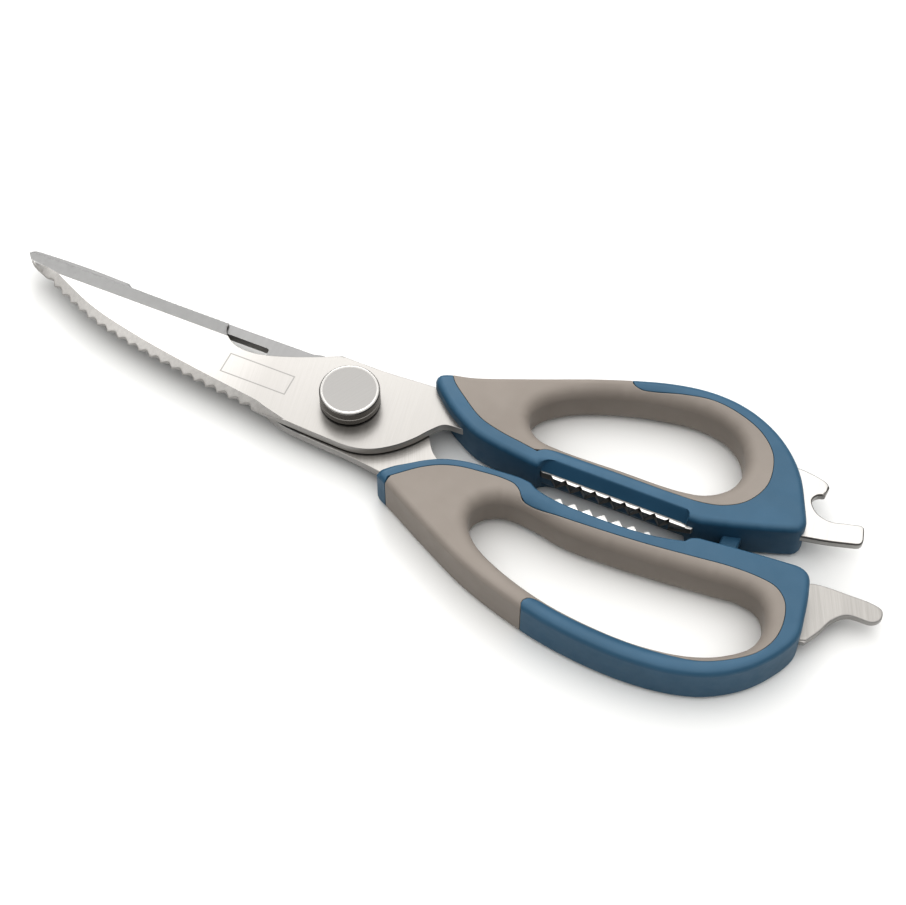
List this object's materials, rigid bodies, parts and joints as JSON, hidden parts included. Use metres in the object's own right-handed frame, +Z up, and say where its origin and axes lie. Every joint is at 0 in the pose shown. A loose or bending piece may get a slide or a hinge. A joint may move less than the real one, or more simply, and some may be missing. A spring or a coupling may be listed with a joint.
{
  "type": "poultry shears",
  "caption": "Kitchen poultry shears with notched scaler blades, two-part moulded loop handles, toothed jaws, cap lifter and pry tip, hinged on one pivot.",
  "frame": {"origin": "middle of the underside of the bounding box, on the surface that the closed shears lie on", "axes": "+X along the shears from the blade tips to the handles, +Y towards the thumb loop, +Z up from the resting face, parallel to the pivot"},
  "size_m": [0.2308, 0.0766, 0.0133],
  "materials": {
    "blade_steel": "flat-ground stainless steel with a fine brushed grain",
    "pivot_steel": "brushed flat top with a polished rounded rim",
    "handle_plastic": "hard satin plastic, slate blue, very fine moulded texture",
    "grip_rubber": "soft-touch overmould, warm grey, dull"
  },
  "bodies": {
    "lower_half": {"lower_blade": "blade_steel", "lower_handle_core": "handle_plastic", "lower_handle_grip": "grip_rubber", "pivot_screw": "pivot_steel", "pivot_washer": "pivot_steel", "pivot_cap_nut": "pivot_steel"},
    "upper_half": {"upper_blade": "blade_steel", "upper_handle_core": "handle_plastic", "upper_handle_grip": "grip_rubber"}
  },
  "joints": [
    {"name": "blade_pivot", "type": "hinge", "parent": "lower_half", "child": "upper_half", "pos_m": [-0.02035, 0.00216, 0.006], "axis": [0, 0, 1], "range_deg": [0, 60]}
  ]
}
